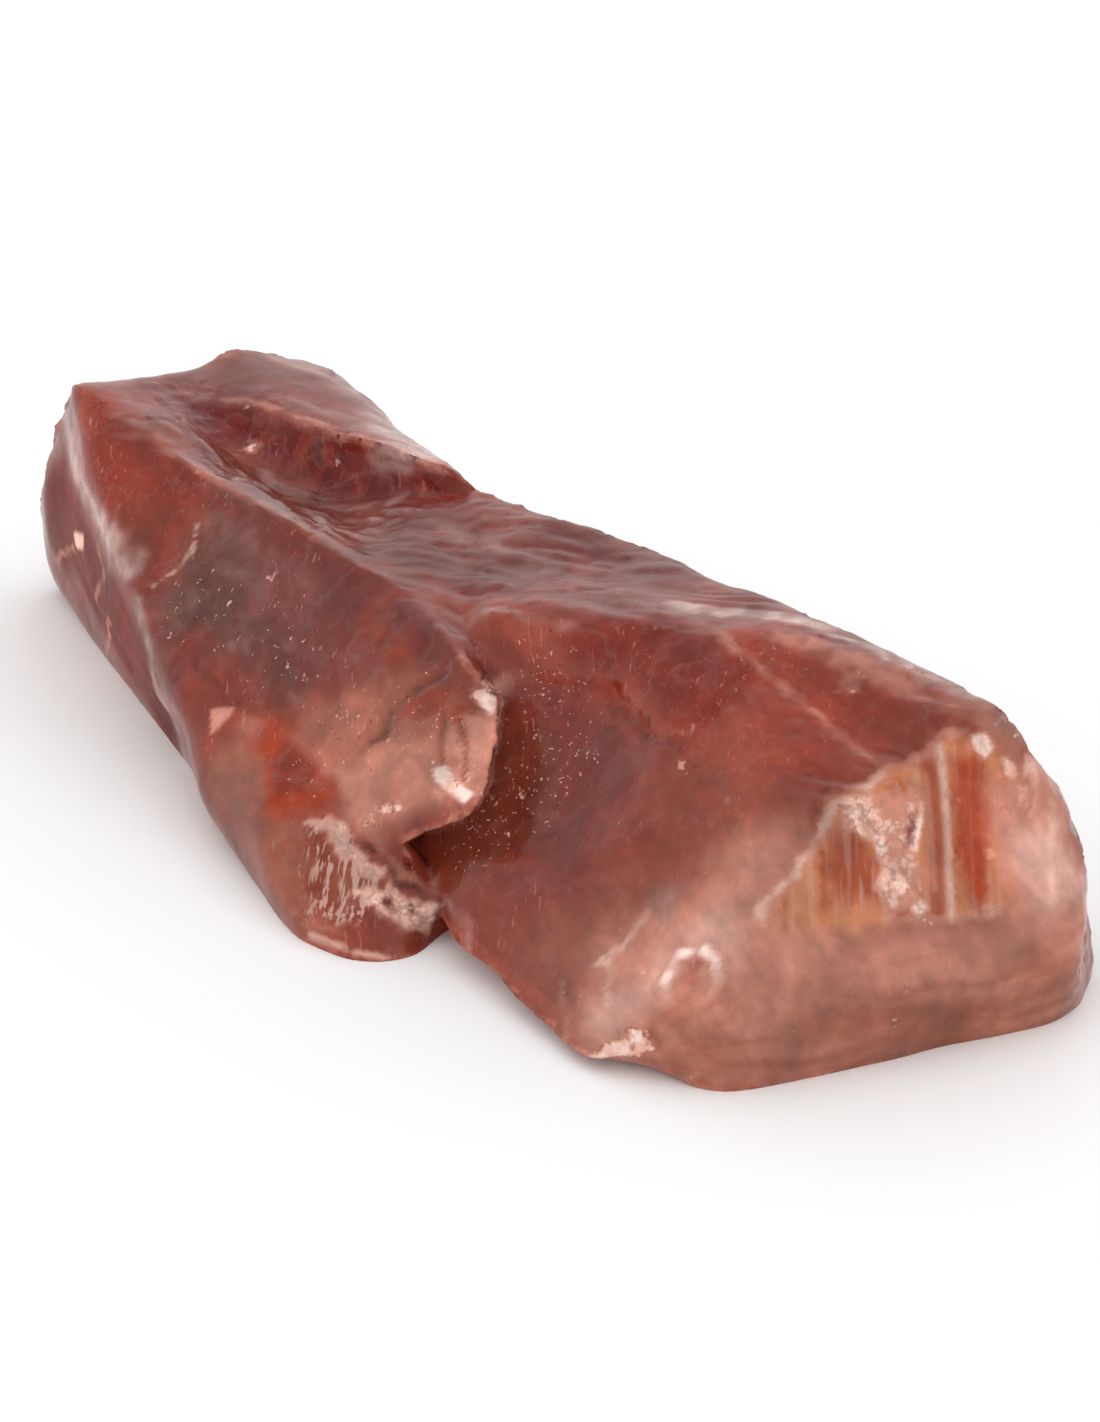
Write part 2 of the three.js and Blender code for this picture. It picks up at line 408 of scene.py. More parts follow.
# %% [markdown]
# ## Broken surfaces
#
# Calcite breaks in three ways that show here: small flat facets along its cleavage, long ripples where the
# break ran like a shell, and fine straight lines. Each is a function of the place, so a brush can lay it on.


# %% Facets, ripples and lines
def stretched(spot, along, length, width):
    """The place in a noise whose features are that long along a direction and that wide across it."""
    spot = spot / width
    return spot - along * spot.dot(along) * (1 - width / length)


def facets(size, tilt):
    """The height of chipped facets, each tipped its own way."""

    def height(spot):
        centre = noise.voronoi(spot / size)[1][0]
        return (spot / size - centre).dot(noise.noise_vector(centre * 5.3)) * size * tilt

    return field(height)


def facet_shade(size):
    """One value for each of those facets."""
    return field(lambda spot: noise.noise(noise.voronoi(spot / size)[1][0] * 7.7))


def ripples(along, length, width):
    """Round ridges with sharp valleys between them, along a direction, from about -1 to 1."""

    def height(spot):
        spot = stretched(spot + noise.noise_vector(spot / 6), along, length, width)
        return 3 * abs(noise.noise(spot)) + 1.2 * abs(noise.noise(spot * 2.3)) - 1

    return field(height)


ALONG_TOP = direction(110, 0)
ALONG_HOLLOW = direction(103, 0)
ALONG_BACK = direction(95, -3)
ALONG_SIDE = Vector((0.87, -0.39, -0.30))
ALONG_FRONT = Vector((0.75, 0.15, -0.65))
UP_END = Vector((-0.44, 0.32, 0.84))
ALONG_FOOT = direction(156, 0)
DOWN_LOBE = Vector((0.35, -0.45, -0.82))

LARGE_FACET = 2.6
SMALL_FACET = 1.1
TILT = 0.5

large_facets, large_shade = facets(LARGE_FACET, TILT), facet_shade(LARGE_FACET)
small_facets, small_shade = facets(SMALL_FACET, TILT), facet_shade(SMALL_FACET)
print("facets from", round(large_facets.min(), 2), "to", round(large_facets.max(), 2), "mm")

# %% [markdown]
# ## The back
#
# The back is one long break. Wide ripples run along it through mauve and clay-coloured zones, small facets
# roughen it, and a few pale cleavage lines cross it. A noise as wide as the back sorts out the zones.

# %% Back
far_tip = smooth(-normal[:, 0], 0.6, 0.8) * smooth(-place[:, 0], 36, 40)
back = np.maximum(smooth(normal[:, 1], 0.1, 0.5), far_tip)
back_lines = ripples(ALONG_BACK, 12, 2.2)
zones = field(lambda spot: noise.fractal(spot / 9, 1, 2, 3))
touch(0.6 * back * smooth(zones, 0, 0.4), MAUVE)
touch(0.5 * back * smooth(-zones, 0, 0.5), CLAY)
touch(0.3 * back * smooth(back_lines, 0.2, 0.9), SMOKE_AND_SHEEN, height=0.1)
touch(0.5 * back * smooth(large_shade, 0.1, 0.3), WINE)

# Cleavage lines.
touch(0.7 * rear.ruled(0.4, (-22, 6), (-13, -2)), ROSE)
touch(0.6 * rear.ruled(0.3, (-20, 7), (-9, -3)), ROSE)
touch(0.7 * rear.ruled(0.4, (18, 5), (26, -4)), ROSE)
touch(0.6 * rear.line(0.5, (-4, -6), (3, -3), (7, 2), (9, 7)), ROSE, frost=0.3)

raised += back * (0.25 * large_facets + 0.1 * back_lines)
print("back touched on", int((back > 0.5).sum()), "points")

# %% [markdown]
# ## The plate
#
# The front of the far half is one flat plate. Its far third is thin, and its orange-red is painted light
# shining through it. The middle is dulled by many fine cracks, the near end is pale, and there it broke off
# in bright chips whose white is a painted reflection of their small facets.

# %% Plate
END_ROUTE = [(9.9, -5.4, 15), (9.6, -4.3, 12.6), (10.4, -7.7, 12.4), (11.2, -9.3, 10.4), (12.4, -8.7, 7.8)]

broken_end = soft(2.2, END_ROUTE) * proud
plate_lines = ripples(ALONG_FRONT, 7, 1.6)

# The far third, painted orange-red as light shining through the thin plate, and the dark line under the
# crest.
touch(0.9 * soft(7, [(-33, -2, 16.5), (-26, -4.5, 14)]), RUST, cloud=0.15)
touch(0.6 * soft(5, [(-31, -3, 16), (-26, -4.5, 14)]), WINE)
touch(0.4 * soft(3.5, [(-35, -2, 17), (-28, -5, 14)]), CRIMSON)
touch(0.4 * soft(3, [(-27, -5, 13), (-24, -5, 12)]), OLIVE)
touch(0.6 * soft(3, [(-24, -1.9, 16.7), (-12, -3, 16.1), (0, -4.4, 15.6), (4.5, -5, 15.2)]), WINE)

# The dulled middle, with smoky veils.
dulled_spot = [(-11, 2.7), (-8, 4.4), (-2, 3.4), (1.4, 2), (1.4, -0.4), (-5, -1), (-9, 0)]
touch(0.9 * soft(5, [(-17.5, -7, 11.8), (-7, -7.5, 11.8)]), OLIVE, spark=0.6)
touch(0.5 * soft(4, [(-12, -8, 11), (-6, -9, 10)]), MAUVE)
touch(0.8 * plate.patch(*dulled_spot, edge=1.5), OLIVE)
touch(0.3 * soft(6, [(-15, -7, 12), (-3, -8, 11)]) * smooth(plate_lines, 0.1, 0.9), SMOKE_AND_SHEEN)
touch(0.25 * plate.line(1.5, (-9.6, 4.7), (-4.7, 4.3), (-2.1, 3.7)), SMOKE_AND_SHEEN)
touch(0.25 * plate.line(1.5, (-1.2, 4.4), (2.4, 3.6)), SMOKE_AND_SHEEN)
touch(0.6 * soft(4, [(-12, -5, 14), (-3.5, -7, 12.5)]), MAUVE)
touch(soft(5, [(0, -10, 9.5), (7, -7.5, 12)]), spark=0.8)

# The pale near end.
touch(0.6 * soft(3, [(-15, -10, 9), (-7.5, -11.4, 7.6), (-2, -12, 7)]), RUST)
touch(0.6 * plate.line(2, (7.8, 4), (12, 2.5)), EMBER)
touch(0.75 * soft(5.5, [(0, -10, 9.3), (7, -8.5, 10.5)]), CLAY, cloud=0.1)
touch(0.6 * soft(4, [(5, -11, 8.5), (9, -9, 10)]), ROSE, cloud=0.1)

# The facets of the broken end, each painted darker or paler by its own value, as painted shade and highlight.
touch(0.7 * broken_end, ROSE, cloud=0.1)
touch(0.5 * broken_end * smooth(large_shade, 0.05, 0.25), RUST)
touch(0.6 * broken_end * smooth(-large_shade, 0.05, 0.2), BLUSH)
raised += (0.6 * large_facets + 0.4 * small_facets) * broken_end

# The crest's pale line, a healed crack, and the steps where the plate starts to break.
crest = [(-21.8, 8.6), (-13.5, 7.6), (-5.1, 7.5), (0.2, 7.2), (6.3, 6.8), (10.6, 6.1), (13.5, 5.5)]
step = [(13.3, -4), (14.1, -2.2), (14.1, -0.3), (15.3, 1.5), (16.4, 2.7)]
touch(0.4 * plate.line(0.5, *crest), ROSE)
touch(0.6 * plate.line(0.25, (-10.8, 4.1), (-9.7, 2.6), (-9.9, 1.4), (-10.7, 0.2), (-11.3, -0.7)), BLUSH)
touch(0.7 * plate.line(0.5, (-3.7, -4.1), (-1.5, -4.8), (1.3, -5.2)), WINE, height=-0.2)
touch(0.7 * plate.patch((14.5, -1.5), (14.3, -0.2), (15.5, 1.3), (18.2, 2), (17.6, 0.4), (16.3, -0.7)), RUST)
touch(0.8 * plate.line(0.6, *step), OLIVE, height=-0.3)

# Flakes, dark grooves and bright chips on the broken end. The chips' white is a painted reflection of their
# small facets.
upper_chip = [(19.4, 2.1), (20, 3.3), (20.6, 3.1), (21.6, 2.6), (21.5, 1.7), (21, 1.8)]
lower_chip = [(19.4, -3), (20.1, -2.5), (22, -3.1), (23.6, -3.2), (23.3, -4.1), (20, -3.6)]
touch(0.9 * plate.chip((18.7, 0.3), (21.4, -1.4), (22.5, -2.6), (20.3, -2.6), (19.4, -1.5)), ROSE)
touch(0.9 * plate.chip((19.4, 0.9), (21.9, 1.3), (23.3, -1.4), (22.5, -2.6), (21.4, -1.4)), ROSE)
touch(0.9 * plate.patch((20.3, -1.8), (21.2, -1.6), (21.5, -2.4), (20.7, -2.6)), CLAY, height=-0.1)
touch(0.9 * plate.patch((18.3, 1.1), (19.1, 1.3), (19.4, 0.5), (18.7, 0.3)), EMBER)
touch(0.9 * plate.patch((19.6, 1.6), (20.2, 1.6), (20.4, 0.9), (19.9, 0.9)), EMBER)
touch(0.7 * plate.ruled(0.35, (19.4, 0.5), (20.7, -0.6), (21.5, -1.5), (22.3, -2.7)), RUST, height=-0.1)
touch(0.6 * plate.ruled(0.4, (17.9, 0.4), (18.9, -1.3), (20.1, -2.7)), RUST, height=-0.15)
touch(plate.chip(*upper_chip), CHALK_AND_HIGHLIGHT, cloud=0.3)
touch(0.5 * plate.chip((19.4, 2.1), (20, 3.3), (20.4, 2.2)), ROSE, height=0.2)
touch(plate.chip(*lower_chip), CHALK_AND_HIGHLIGHT, cloud=0.3)
touch(0.6 * plate.chip((20.6, -2.9), (22, -3.1), (22.4, -3.8), (21.4, -3.8)), ROSE, height=0.2)

# Small frosted spots below the broken end, one flake further back, and the pale lip.
for frosted_spot in [
    [(16.5, -7), (17.4, -5.9), (18.6, -5.6), (18.8, -6.3), (17.3, -7.1)],
    [(16.1, -8), (16.5, -7.4), (17.5, -7.8), (17.1, -8.3)],
]:
    touch(0.8 * plate.patch(*frosted_spot), ROSE, frost=0.6)
touch(0.9 * plate.chip((-0.5, -6.2), (1.4, -5.4), (1.5, -5.9), (0.7, -7.8)), ROSE, height=0.1, cloud=0.1)
touch(0.4 * plate.line(0.9, (2.9, -6), (7.3, -5.6), (11.8, -6.1), (14.8, -6.8), (18.6, -9.1)), ROSE)
print("plate: broken end on", int((broken_end > 0.5).sum()), "points")

# %% [markdown]
# ## The far side
#
# The narrow far side shows grey veils that run down its length, and its edge with the plate is worn white. A
# wide grey line of painted sheen, where the edge is seen at a slant, with a narrower white one on it makes
# such an edge.

# %% Far side
PLATE_EDGE = [(-10.7, 6.8), (-8, 4.3), (-1.6, 3.4), (3.8, 3), (6.2, 2.2)]

side_lines = ripples(ALONG_SIDE, 12, 2)
far_side = soft(6, [(-40, -1, 8), (-28, -6, 6), (-22, -8, 4)]) * side.under
red_spot = [(4.4, 0.7), (8.2, 1.7), (11.7, 0.8), (13.5, -2.4), (5.4, -5), (3.4, -1.9)]
touch(0.9 * far_side, WINE, cloud=0.2, dull=1)
touch(0.5 * far_side * smooth(side_lines, -0.2, 0.2), MAUVE, height=0.05)
touch(0.5 * side.line(1.8, *PLATE_EDGE), SMOKE_AND_SHEEN, cloud=0.1)
touch(0.4 * side.line(1.2, *PLATE_EDGE), CHALK_AND_HIGHLIGHT)
touch(0.5 * side.patch(*red_spot, edge=1), CRIMSON)
touch(0.7 * side.line(1.4, (12, -1), (14, -5), (13.5, -8.5)), SMOKE_AND_SHEEN)
touch(0.4 * side.line(0.8, (8, 1), (12, -1), (14, -5), (13.5, -8.5)), CHALK_AND_HIGHLIGHT)

# Hair cracks, and one bright chip painted as a glint.
for crack in [
    [(-0.9, 0.9), (1.1, -0.4), (-2, -3.7)],
    [(1.7, -3.5), (-3.1, -8.4)],
    [(-13, -5.9), (-7.3, -2)],
]:
    touch(0.7 * side.line(0.4, *crack), ROSE)
touch(side.chip((-6.8, -0.7), (-4.2, 0.2), (-4.4, -1), (-6.4, -1.8)), BLUSH, cloud=0.2)
print("far side touched on", int((far_side > 0.5).sum()), "points")

# %% [markdown]
# ## The hollow and the back peak
#
# Behind the crest the stone broke out in a hollow. Its floor carries grey flow lines of painted sheen, its
# back wall is the darkest wine red, and the edge of the peak above it is so thin that it is painted white, as
# light shining through.

# %% Hollow
WALL_ROUTE = [(-32, 5, 16.3), (-26, 6.5, 16), (-20, 7.4, 15.7), (-15, 8.6, 15.8), (-12.5, 9.2, 16.8)]

hollow_lines = ripples(ALONG_HOLLOW, 8, 1.6)
hollow = soft(5.5, [(-33, 3, 17), (-20, 4, 16), (-12, 5, 16)])
hollow_floor = soft(4.5, [(-26, 2.3, 16.5), (-20, 2, 15.7), (-12, 4, 15.5)])
hollow_wall = soft(2.4, WALL_ROUTE)
peak = soft(7, [(-37, 12, 18), (-26, 12, 18)])

# The peak and the rim of the hollow.
touch(0.6 * peak, MAUVE, dull=0.6)
touch(0.5 * peak * smooth(hollow_lines, 0.1, 0.8), SMOKE_AND_SHEEN)
touch(0.5 * soft(3, [(-37, 10.5, 18.1), (-31, 10, 18)]), RUST)
touch(0.7 * soft(3.5, [(-36, 5, 17.5), (-28, 6.5, 17.5), (-20, 8, 17.5)]), WINE, cloud=0.3)

# The hollow itself: grey flow lines of painted sheen, dark facets, and the wall.
touch(0.6 * hollow, MAUVE, dull=0.4)
touch(0.6 * hollow * smooth(hollow_lines, 0, 0.9), SMOKE_AND_SHEEN, height=0.1)
touch(0.6 * hollow * smooth(large_shade, 0, 0.25), WINE)
touch(0.9 * hollow_wall, WINE, cloud=0.3)
touch(0.5 * hollow_wall * smooth(small_shade, 0, 0.3), RUST)
touch(0.6 * hollow_floor * smooth(hollow_lines, 0.1, 0.8), SMOKE_AND_SHEEN, height=0.1)
touch(0.6 * over.line(1.1, (-21, 3.8), (-17.1, 5.2), (-15.3, 6.4), (-14.7, 7.4)), SMOKE_AND_SHEEN)
touch(0.5 * over.line(0.35, (-32.1, 7.1), (-26.9, 7.8), (-20.8, 8.7), (-13.5, 9.7), (-10.3, 10.6)), ROSE)

# The thin edge of the peak, painted pale as light shining through it, and a chip in the hollow.
pale_edge = soft(3, [(-33, 14.4, 17.6), (-28.5, 14.6, 17.4), (-23.5, 13.6, 17.4), (-15, 10.2, 18.1)])
pale_edge *= 1 - hollow_wall
touch(0.7 * pale_edge, SMOKE_AND_SHEEN, frost=0.15)
touch(0.5 * pale_edge * smooth(hollow_lines, -0.6, 0.2), PEARL, cloud=0.2, frost=0.2)
touch(over.patch((-27.9, 6), (-26.9, 6.1), (-26.7, 5.5), (-27.5, 5.3)), ROSE, frost=0.8)
raised += 0.35 * hollow * small_facets
print("hollow: wall on", int((hollow_wall > 0.5).sum()), "points")

# %% [markdown]
# ## The top
#
# The top of the near half is rippled like a shell's inside. It is mauve where it lies level, and rust red on
# the slope behind the front face. A pale line marks the crease between the two. The ripples carry painted
# grey sheen on their ridges and painted shade in their valleys.

# %% Top
top_lines = ripples(ALONG_TOP, 14, 4)
fine_lines = ripples(ALONG_TOP, 9, 1.3)
top = smooth(normal[:, 2], 0.75, 0.93) * smooth(place[:, 0], -14, -6)
slope = soft(4.5, [(22, 3.2, 19.5), (33, 4.5, 18.2)])

# The level part, with its ripples: painted sheen on their ridges and painted shade in their valleys.
touch(0.7 * top, MAUVE, cloud=0.05, dull=0.5)
touch(0.5 * top, RUST)
touch(0.2 * top * smooth(top_lines, -0.2, 0.8), SMOKE_AND_SHEEN)
touch(0.25 * top * smooth(fine_lines, 0, 0.8), SMOKE_AND_SHEEN)
touch(0.55 * soft(5, [(-8, 2, 16), (3, 3, 17)]), WINE)
touch(0.4 * top * smooth(-fine_lines, 0.3, 0.7), WINE)
raised += top * (1 - slope) * (0.12 * top_lines + 0.1 * fine_lines)
touch(0.5 * soft(2.5, [(-1, 9.6, 18.2), (11, 9.4, 18.9)]), WINE)
touch(0.6 * over.line(1.3, (-6.4, -0.2), (3.1, -0.8), (10.4, -0.5), (16.2, 1)), RUST)
touch(0.3 * over.line(1, (-9.2, 6), (0.8, 4.7), (10.6, 4.4), (19.1, 3.4)), SMOKE_AND_SHEEN, height=0.1)

# The slope, the crease along it, and a notch.
touch(0.9 * slope, RUST)
touch(0.6 * over.line(0.45, (20.7, 3.4), (25.9, 2.8), (32.3, 2.7), (36.4, 2.7)), ROSE, height=0.05)
touch(0.6 * over.line(0.5, (4, -1.2), (7.5, -1.3), (10.4, -0.5), (14.2, 1.1)), SMOKE_AND_SHEEN)
touch(0.8 * over.line(0.6, (7.4, 2.2), (8.1, 3.3), (9.3, 4.3)), WINE, height=-0.3)

# The pale far edge, painted as light shining through the thin rim, and a chip near it.
far_edge = [(21, 9.6, 20), (27.1, 10.3, 20), (31.4, 10.8, 20), (35.3, 11, 19.5), (39, 11.2, 18.4)]
touch(0.6 * over.line(1.3, (24.5, 5.6), (30.4, 7.2), (33.1, 8), (37.4, 8.9), (39.6, 10.1)), ROSE, frost=0.15)
touch(0.7 * over.line(1.2, (15.4, 4.9), (19.4, 6.9), (27.6, 8.9), (33, 9.6), (38.1, 10.5)), CHALK_AND_HIGHLIGHT, frost=0.3)
touch(0.6 * soft(2, far_edge), SMOKE_AND_SHEEN, frost=0.2)
touch(0.6 * over.patch((29.4, 5.9), (30.4, 6.8), (31.5, 5.7), (30.5, 4.8)), ROSE, frost=0.4)
print("top ripples from", round(top_lines.min(), 2), "to", round(top_lines.max(), 2))

# %% [markdown]
# ## The front face
#
# The front of the near half is dark mauve where the stone is thickest, orange-red under the top edge, and
# pale towards the lower right, where light shining through is painted in. Beside the plate it is painted
# darker, as painted shade under the plate's overhang. A crimson ledge crosses its upper left, where many
# small sparks lie.

# %% Front face
dark_middle = soft(5, [(14, -3, 13.5), (19, -5, 11.5), (18, -8.5, 8)])
shade_beside_plate = soft(3.5, [(12.5, -5, 11), (14, -8, 8), (12, -10, 6)])
dark_crest = soft(3.5, [(14.5, 0, 17.4), (20, 0.8, 18.2), (23, 0.5, 18)])

# The broad zones, from dark to pale.
touch(0.8 * dark_middle, MAUVE)
touch(0.3 * dark_middle, RUST)
# Painted shade: the stone beside the plate is darkened, as under the plate's overhang.
touch(0.4 * shade_beside_plate, OLIVE)
touch(shade_beside_plate, spark=0.5)
touch(0.8 * soft(4.5, [(17, -0.5, 17), (24, -1, 17), (34, -1, 16)], [(27, -3.6, 14.4), (32, -4, 14)]), RUST)
touch(0.2 * soft(5, [(27, -4, 14), (33, -4, 13)]), CLAY)
# The pale lower right is painted light shining through the stone.
touch(0.5 * soft(7.5, [(26, -12, 4), (33, -9.5, 8), (35, -7.5, 10)]), CLAY)
touch(0.8 * soft(6.5, [(30, -12, 4), (34, -9.5, 8), (36, -7, 10)]), ROSE, cloud=0.1)
touch(0.25 * soft(4, [(31, -13, 2.5), (34.5, -10, 8)]), CHALK_AND_HIGHLIGHT, cloud=0.1)
touch(0.9 * dark_crest, WINE, cloud=0.15)
touch(0.25 * dark_crest, CRIMSON)
touch(soft(5, [(11.5, -2.5, 14), (15, -4.5, 12), (13, -8, 8)]), spark=1.3)

# The crimson ledge, with a dark line along it.
ledge_line = [(-15.3, 5.7), (-13.1, 6.3), (-9.9, 6.8), (-5.8, 6), (-1.9, 6.2), (0.8, 5.9)]
ledge_top = [(-12.3, 7.4), (-10.4, 7.4), (-7.8, 7), (-5.2, 6.4), (-2.5, 6), (0.6, 5.7)]
ledge_foot = [(-4.3, 5.6), (-6.6, 5.8), (-9.1, 6.2)]
ledge = front.patch(*ledge_top, *ledge_foot, edge=0.25)
touch(0.6 * front.line(0.5, *ledge_line), WINE)
touch(0.95 * ledge, CRIMSON, cloud=0.15, height=-0.15)
touch(0.55 * ledge, WINE)
touch(0.8 * front.patch((-15.3, 5.9), (-13.1, 6.4), (-12.6, 5.9), (-15, 5.4)), CRIMSON, cloud=0.15)

# A bent white crack, and veils round it.
touch(0.8 * front.line(0.4, (3.7, -3.8), (2.9, -7.1), (2.4, -8.1)), BLUSH, height=0.1, frost=0.2)
touch(0.6 * front.line(0.4, (3, -7.3), (3.9, -8.1), (4.9, -9.8)), BLUSH, frost=0.2)
touch(0.5 * front.patch((3, -2.6), (4.7, -1.5), (6.1, -3.5), (4.6, -4.2), edge=0.8), SMOKE_AND_SHEEN)

# A ring crack, as left by a knock, and its dark middle.
ring = [(8.2, -4.5), (7.5, -5.2), (7.7, -6.8), (9.1, -8), (10.4, -7.6), (11.2, -5.7), (10.4, -4.2), (8.9, -4)]
touch(0.6 * front.patch((7, -4.2), (10.8, -3.6), (12, -6), (10.6, -8.4), (7.4, -7.8), edge=0.8), CLAY)
touch(0.7 * front.patch((8.4, -5), (9.4, -4.6), (10.3, -5.9), (9.3, -6.6)), RUST, height=-0.15)
touch(front.line(0.55, *ring), CHALK_AND_HIGHLIGHT, cloud=0.2, height=0.1)
touch(0.4 * front.line(0.4, (8.6, -9.2), (10.5, -7.9), (11.7, -5.9)), RUST)

# The bruised toe.
toe = [(5.8, -13.1), (6.4, -11.4), (7.3, -10.4), (8.6, -9.9), (9.3, -10.6), (8.3, -11.9)]
touch(0.6 * front.line(0.5, (0.9, -10.3), (2, -11.2), (3.2, -12.5)), ROSE, frost=0.4)
touch(0.7 * front.line(1.2, (5, -13.5), (7, -12), (11, -11.5)), ROSE, frost=0.4)
touch(front.patch(*toe), ROSE, frost=0.6)
print("front face: sparks on", int((glitter > 0.5).sum()), "points")

# %% [markdown]
# ## The end face
#
# The end face is a cleavage face, so its lines are straight and run up it side by side. It is honey-coloured,
# with one deep orange panel, a frosted patch, a raised rib, and chips beside the panel. Its right rim is
# pale, and so is the undercut strip below it.

# %% End face
END_OUTLINE = [(-10.2, -3), (-4.6, 4.5), (-1, 5.8), (1.9, 6.2), (3.7, 7.4), (6.2, 7), (7.8, 3), (7.1, -4)]
FROST_TOP = [(-4, 4.5), (-1.3, 4.5), (0.6, 4.1)]
FROST_FOOT = [(0, 0.4), (0.1, -2.8), (-2.9, -3), (-2.4, 1.3), (-4.3, 2.9)]
STRIP_ROUTE = [(36, -12, 3), (41, -4, 3.5), (44.5, 5, 3.5), (46, 10, 3.5)]

end_lines = ripples(UP_END, 40, 1.6)
strip_lines = ripples(ALONG_FOOT, 25, 1.4)
end_face = end.patch(*END_OUTLINE, edge=0.6)
frost = end.patch(*FROST_TOP, *FROST_FOOT)
panel = end.patch((3.4, 6), (5.4, 5.6), (5.6, 2.8), (4.5, -3), (3.3, -3.2), (2.6, 0.5), edge=0.5)
chips = np.maximum.reduce([
    end.chip((4.9, 7.1), (5.9, 7.1), (6.2, 6.2), (5.6, 5.6), (5, 6.2)),
    end.chip((7.5, 3.8), (7.9, 3.3), (7.9, 2.4), (7.6, 1.6), (7.3, 2.5)),
    end.chip((6.8, 5.5), (7.4, 4.9), (7.3, 4.1), (6.7, 4.5)),
    end.chip((-2.6, 1.4), (-2.1, 1.7), (-1.9, 1), (-2.4, 0.7)),
    end.chip((-0.9, -2.7), (-0.2, -2.3), (0.3, -2.8), (-0.4, -3.3)),
])

# The honey-coloured face with its deeper streaks, and the orange panel.
deep_spot = [(-5.5, 2.5), (-3.7, 2.4), (-2.5, 0.1), (-2.5, -1.7), (-5.7, -1.5), (-6.2, 0.4)]
touch(0.6 * soft(3.5, [(38, -3, 12), (39.5, -3, 10)]), CLAY)
touch(0.8 * end_face, HONEY)
touch(0.5 * end_face * smooth(end_lines, -0.1, 0.6), EMBER, height=0.05)
touch(0.8 * end.patch(*deep_spot, edge=0.8), EMBER)
touch(0.9 * panel, EMBER, cloud=0.15)
touch(0.7 * end.line(1.4, (-9.5, -2.6), (-2.7, -3.4)), HONEY)
touch(0.6 * end.patch((5.8, 2.8), (7.4, 1.8), (6.9, -3.4), (4.9, -3.2), edge=0.6), HONEY)

# The frosted patch.
touch(0.9 * frost, ROSE, cloud=0.1, frost=0.15)
touch(0.8 * frost * smooth(small_shade, -0.25, 0.05), BLUSH, frost=0.3)
touch(0.6 * end.patch((6.1, 3.3), (7.3, 3.5), (7.3, 1.9), (6.3, 0.6), (5.8, 1.8), edge=0.6), ROSE, frost=0.35)
touch(0.9 * end.line(0.45, (0.2, 3.2), (-0.5, 1.4)), WINE)
touch(end.line(0.45, (0.8, 3.6), (0.7, 2.8), (0, 1)), CHALK_AND_HIGHLIGHT, cloud=0.2)

# The rib and the straight lines beside it.
touch(0.7 * end.ruled(0.9, (2.1, 6.2), (0.8, -3.6)), EMBER)
# The rib's bright line is a painted highlight.
touch(0.9 * end.ruled(0.4, (2.9, 6.8), (1.7, -3.8)), BLUSH, height=0.15)
touch(0.6 * end.ruled(0.3, (1.6, 5.2), (0.9, -1.8)), ROSE)

# The pale border of the face, and the chips, whose white is a painted reflection of their small facets.
border = [(-1, 5.8), (-4.5, 4.2), (-5.2, 3.4), (-7.7, 0.6), (-9.9, -1.3), (-10.2, -2.3)]
touch(0.8 * end.line(0.4, *border), BLUSH)
touch(0.7 * end.line(0.6, (-1, 5.8), (0.4, 5.9), (1.9, 6.2), (2.5, 6.8), (3.7, 7.4), (4.9, 7.5)), ROSE)
touch(0.7 * end.line(0.4, (7.6, 1.5), (7, -3.8)), BLUSH)
touch(0.9 * chips, CHALK_AND_HIGHLIGHT, cloud=0.3, frost=0.2)
touch(0.4 * end.line(0.5, (-2.6, -3.1), (0, -3.5), (1.7, -3.7), (4.9, -3.6), (7, -3.8)), BLUSH, frost=0.5)

# The pale right rim.
touch(0.9 * soft(4, [(42.5, 10, 15), (43.7, 9.4, 12), (44.8, 9.5, 9), (45.5, 10.4, 6.5)]), ROSE, cloud=0.1)
touch(0.3 * soft(3, [(43.7, 10, 12), (44.8, 10, 9), (45.5, 10.4, 6.5)]), CHALK_AND_HIGHLIGHT)
touch(0.6 * end.line(0.4, (9, 2.3), (8.4, -4)), BLUSH)

# The undercut strip, streaked along its length.
strip = soft(5, STRIP_ROUTE) * (1 - end_face)
touch(soft(6, STRIP_ROUTE) * (1 - end_face), CLAY)
touch(0.5 * soft(3.5, [(39.5, -5, 8.5), (42, 1, 8), (44.5, 6, 7.5)]) * (1 - end_face), ROSE)
touch(0.4 * soft(3, [(36, -10.7, 5.8), (38.2, -7.6, 6.5), (42.6, 1.6, 6.5), (45.4, 10, 6)]), ROSE)
touch(0.45 * strip * smooth(strip_lines, -0.3, 0.6), ROSE)
touch(0.15 * strip * smooth(-strip_lines, 0.2, 0.8), RUST)
touch(end.patch((-2.2, -6.8), (-1.8, -6.8), (-1.5, -7.7), (-1.9, -7.7)), ROSE, frost=0.5)

ribbed += end_face * (1 - frost) * (1 - 0.8 * panel)
raised += small_facets * (0.5 * frost + chips)
print("end face:", int((end_face > 0.5).sum()), "points")

# %% [markdown]
# ## The lobe
#
# Low on the front a lobe stands out. It is thin, and its orange is painted light shining through it. Its face
# is fluted in fine stripes, whose pale streaks are painted reflections, and its foot is a smooth, wet-looking
# lip.

# %% Lobe
FLUTED_OUTLINE = [(-2.4, 2.5), (0, 2.7), (2, 0.4), (4, -1), (4, -3.2), (1, -3.8), (-0.6, -3.4)]

